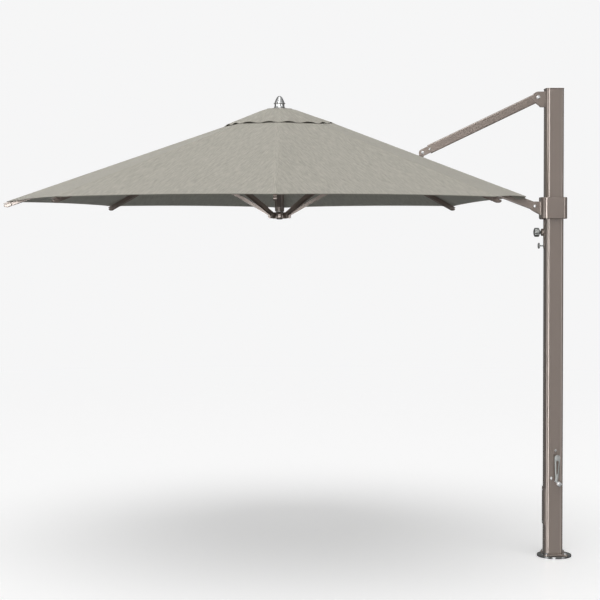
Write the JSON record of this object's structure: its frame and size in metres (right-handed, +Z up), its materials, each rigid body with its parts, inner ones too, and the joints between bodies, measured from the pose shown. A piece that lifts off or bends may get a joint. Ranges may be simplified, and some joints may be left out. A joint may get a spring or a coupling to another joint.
{
  "type": "cantilever parasol",
  "caption": "Side-mast parasol with an octagonal vented canopy, hung on a boom and strut that fold down as a collar slides on the mast.",
  "frame": {"origin": "on the ground, on the round base plate's underside, at the mast's axis; the plate's centre and the swivel's axis are 10.5 mm further along +X", "axes": "+Z up along the mast; -X from the mast towards the canopy; the crank is on the -Y side"},
  "size_m": [3.6414, 3.5318, 2.9983],
  "materials": {
    "bronze_paint": "painted: satin metallic bronze-grey powder coat on aluminium",
    "stainless": "bright stainless steel, polished on the finial and bolt heads",
    "zinc": "grey satin casting",
    "black_plastic": "matt black moulding",
    "cord": "braided polyester",
    "canopy_fabric": "solution-dyed woven acrylic, warm grey"
  },
  "bodies": {
    "base": {"base_plate": "stainless", "swivel_spigot": "stainless"},
    "mast": {"turntable": "stainless", "foot_flange": "bronze_paint", "foot_bolt_1": "stainless", "foot_bolt_2": "stainless", "foot_bolt_3": "stainless", "foot_bolt_4": "stainless", "mast": "bronze_paint", "mast_cap": "bronze_paint", "swivel_bush": "black_plastic", "upper_bracket": "bronze_paint", "upper_pivot_bolt": "stainless", "access_cover": "bronze_paint", "crank_boss": "bronze_paint", "handle_catch": "stainless", "sheave_axle": "stainless", "lift_cord": "cord", "lift_cord_fall": "cord"},
    "sheave": {"cord_sheave": "zinc"},
    "crank": {"crank_shaft": "stainless", "winch_drum": "zinc"},
    "handle": {"crank_handle": "zinc"},
    "strut": {"upper_strut": "bronze_paint", "strut_pivot_bolt": "stainless"},
    "boom": {"boom": "bronze_paint", "boom_tongue": "bronze_paint", "strut_lug": "bronze_paint"},
    "collar": {"collar": "bronze_paint", "collar_liner": "black_plastic", "collar_bracket": "bronze_paint", "collar_pivot_bolt": "stainless", "cord_anchor": "stainless", "lock_strap": "bronze_paint"},
    "lock_knob": {"lock_knob": "zinc"},
    "stop_pin": {"stop_pin": "zinc"},
    "hub": {"top_hub": "bronze_paint", "finial": "stainless", "post_outer": "bronze_paint", "vent_cap": "canopy_fabric", "canopy_cover": "canopy_fabric"},
    "post_middle": {"post_middle": "zinc"},
    "lower_hub": {"lower_hub": "bronze_paint", "post_inner": "zinc"},
    "rib_1": {"rib_1": "bronze_paint"},
    "rib_2": {"rib_2": "bronze_paint"},
    "rib_3": {"rib_3": "bronze_paint"},
    "rib_4": {"rib_4": "bronze_paint"},
    "rib_5": {"rib_5": "bronze_paint"},
    "rib_6": {"rib_6": "bronze_paint"},
    "rib_7": {"rib_7": "bronze_paint"},
    "stay_0": {"stay_0": "bronze_paint"},
    "stay_1": {"stay_1": "bronze_paint"},
    "stay_2": {"stay_2": "bronze_paint"},
    "stay_3": {"stay_3": "bronze_paint"},
    "stay_4": {"stay_4": "bronze_paint"},
    "stay_5": {"stay_5": "bronze_paint"},
    "stay_6": {"stay_6": "bronze_paint"},
    "stay_7": {"stay_7": "bronze_paint"}
  },
  "joints": [
    {"name": "mast_swivel", "type": "hinge", "parent": "base", "child": "mast", "pos_m": [0.0105, 0, 0], "axis": [0, 0, 1], "continuous": true},
    {"name": "canopy_fold", "type": "hinge", "parent": "mast", "child": "strut", "pos_m": [-0.1025, 0, 2.9434], "axis": [0, -1, 0], "range_deg": [0, 61.4], "deforming": ["canopy_cover", "vent_cap", "lift_cord_fall"]},
    {"name": "boom_pivot", "type": "hinge", "parent": "strut", "child": "boom", "pos_m": [-0.84, 0, 2.5898], "axis": [0, 1, 0], "range_deg": [0, 124.28]},
    {"name": "collar_pivot", "type": "hinge", "parent": "boom", "child": "collar", "pos_m": [-0.123, 0, 2.247], "axis": [0, -1, 0], "range_deg": [0, 62.88]},
    {"name": "hub_pivot", "type": "hinge", "parent": "boom", "child": "hub", "pos_m": [-1.68, 0, 2.842], "axis": [0, -1, 0], "range_deg": [0, 62.88]},
    {"name": "rib_1_fold", "type": "hinge", "parent": "hub", "child": "rib_1", "pos_m": [-1.70197, 0.05303, 2.828], "axis": [-0.7071, 0.7071, 0], "range_deg": [0, 61.52]},
    {"name": "rib_2_fold", "type": "hinge", "parent": "hub", "child": "rib_2", "pos_m": [-1.755, 0.075, 2.828], "axis": [-1, 0, 0], "range_deg": [0, 61.52]},
    {"name": "rib_3_fold", "type": "hinge", "parent": "hub", "child": "rib_3", "pos_m": [-1.80803, 0.05303, 2.828], "axis": [-0.7071, -0.7071, 0], "range_deg": [0, 61.52]},
    {"name": "rib_4_fold", "type": "hinge", "parent": "hub", "child": "rib_4", "pos_m": [-1.83, 0, 2.828], "axis": [0, -1, 0], "range_deg": [0, 61.52]},
    {"name": "rib_5_fold", "type": "hinge", "parent": "hub", "child": "rib_5", "pos_m": [-1.80803, -0.05303, 2.828], "axis": [0.7071, -0.7071, 0], "range_deg": [0, 61.52]},
    {"name": "rib_6_fold", "type": "hinge", "parent": "hub", "child": "rib_6", "pos_m": [-1.755, -0.075, 2.828], "axis": [1, 0, 0], "range_deg": [0, 61.52]},
    {"name": "rib_7_fold", "type": "hinge", "parent": "hub", "child": "rib_7", "pos_m": [-1.70197, -0.05303, 2.828], "axis": [0.7071, 0.7071, 0], "range_deg": [0, 61.52]},
    {"name": "stay_0_fold", "type": "hinge", "parent": "boom", "child": "stay_0", "pos_m": [-1.005, 0, 2.58405], "axis": [0, -1, 0], "range_deg": [0, 116.69]},
    {"name": "stay_1_fold", "type": "hinge", "parent": "rib_1", "child": "stay_1", "pos_m": [-1.22467, 0.53033, 2.59674], "axis": [0.7071, -0.7071, 0], "range_deg": [0, 111.66]},
    {"name": "stay_2_fold", "type": "hinge", "parent": "rib_2", "child": "stay_2", "pos_m": [-1.755, 0.75, 2.59674], "axis": [1, 0, 0], "range_deg": [0, 111.66]},
    {"name": "stay_3_fold", "type": "hinge", "parent": "rib_3", "child": "stay_3", "pos_m": [-2.28533, 0.53033, 2.59674], "axis": [0.7071, 0.7071, 0], "range_deg": [0, 111.66]},
    {"name": "stay_4_fold", "type": "hinge", "parent": "rib_4", "child": "stay_4", "pos_m": [-2.505, 0, 2.59674], "axis": [0, 1, 0], "range_deg": [0, 111.66]},
    {"name": "stay_5_fold", "type": "hinge", "parent": "rib_5", "child": "stay_5", "pos_m": [-2.28533, -0.53033, 2.59674], "axis": [-0.7071, 0.7071, 0], "range_deg": [0, 111.66]},
    {"name": "stay_6_fold", "type": "hinge", "parent": "rib_6", "child": "stay_6", "pos_m": [-1.755, -0.75, 2.59674], "axis": [-1, 0, 0], "range_deg": [0, 111.66]},
    {"name": "stay_7_fold", "type": "hinge", "parent": "rib_7", "child": "stay_7", "pos_m": [-1.22467, -0.53033, 2.59674], "axis": [-0.7071, -0.7071, 0], "range_deg": [0, 111.66]},
    {"name": "lower_hub_slide", "type": "slide", "parent": "hub", "child": "lower_hub", "axis": [0, 0, -1], "range_m": [0, 0.8582]},
    {"name": "post_middle_slide", "type": "slide", "parent": "hub", "child": "post_middle", "axis": [0, 0, -1], "range_m": [0, 0.4293]},
    {"name": "crank_turn", "type": "hinge", "parent": "mast", "child": "crank", "pos_m": [0.029, 0, 0.475], "axis": [0, 1, 0], "range_deg": [-3240, 3241]},
    {"name": "sheave_turn", "type": "hinge", "parent": "mast", "child": "sheave", "pos_m": [0.0125, 0, 2.925], "axis": [-1, 0, 0], "range_deg": [-2880, 2881]},
    {"name": "handle_fold", "type": "hinge", "parent": "crank", "child": "handle", "pos_m": [0.006, -0.0934, 0.493], "axis": [1, 0, 0], "range_deg": [0, 90]},
    {"name": "lock_knob_turn", "type": "hinge", "parent": "collar", "child": "lock_knob", "pos_m": [-0.1, 0, 2.08], "axis": [-1, 0, 0], "range_deg": [0, 360]},
    {"name": "stop_pin_pull", "type": "slide", "parent": "collar", "child": "stop_pin", "axis": [-1, 0, 0], "range_m": [0, 0.01], "stiffness_N_per_m": 400, "springref_m": -0.012}
  ],
  "couplings": [
    {"joint": "boom_pivot", "follows": "canopy_fold", "ratio": 2.0237},
    {"joint": "collar_pivot", "follows": "canopy_fold", "ratio": 1.0237},
    {"joint": "hub_pivot", "follows": "canopy_fold", "ratio": 1.0237},
    {"joint": "rib_1_fold", "follows": "canopy_fold", "ratio": 1.0016},
    {"joint": "rib_2_fold", "follows": "canopy_fold", "ratio": 1.0016},
    {"joint": "rib_3_fold", "follows": "canopy_fold", "ratio": 1.0016},
    {"joint": "rib_4_fold", "follows": "canopy_fold", "ratio": 1.0016},
    {"joint": "rib_5_fold", "follows": "canopy_fold", "ratio": 1.0016},
    {"joint": "rib_6_fold", "follows": "canopy_fold", "ratio": 1.0016},
    {"joint": "rib_7_fold", "follows": "canopy_fold", "ratio": 1.0016},
    {"joint": "stay_0_fold", "follows": "canopy_fold", "ratio": 1.9001},
    {"joint": "stay_1_fold", "follows": "canopy_fold", "ratio": 1.8182},
    {"joint": "stay_2_fold", "follows": "canopy_fold", "ratio": 1.8182},
    {"joint": "stay_3_fold", "follows": "canopy_fold", "ratio": 1.8182},
    {"joint": "stay_4_fold", "follows": "canopy_fold", "ratio": 1.8182},
    {"joint": "stay_5_fold", "follows": "canopy_fold", "ratio": 1.8182},
    {"joint": "stay_6_fold", "follows": "canopy_fold", "ratio": 1.8182},
    {"joint": "stay_7_fold", "follows": "canopy_fold", "ratio": 1.8182},
    {"joint": "lower_hub_slide", "follows": "canopy_fold", "m_per_rad": 0.80035},
    {"joint": "post_middle_slide", "follows": "canopy_fold", "m_per_rad": 0.40018},
    {"joint": "crank_turn", "follows": "canopy_fold", "ratio": 52.769},
    {"joint": "sheave_turn", "follows": "canopy_fold", "ratio": 46.906}
  ]
}
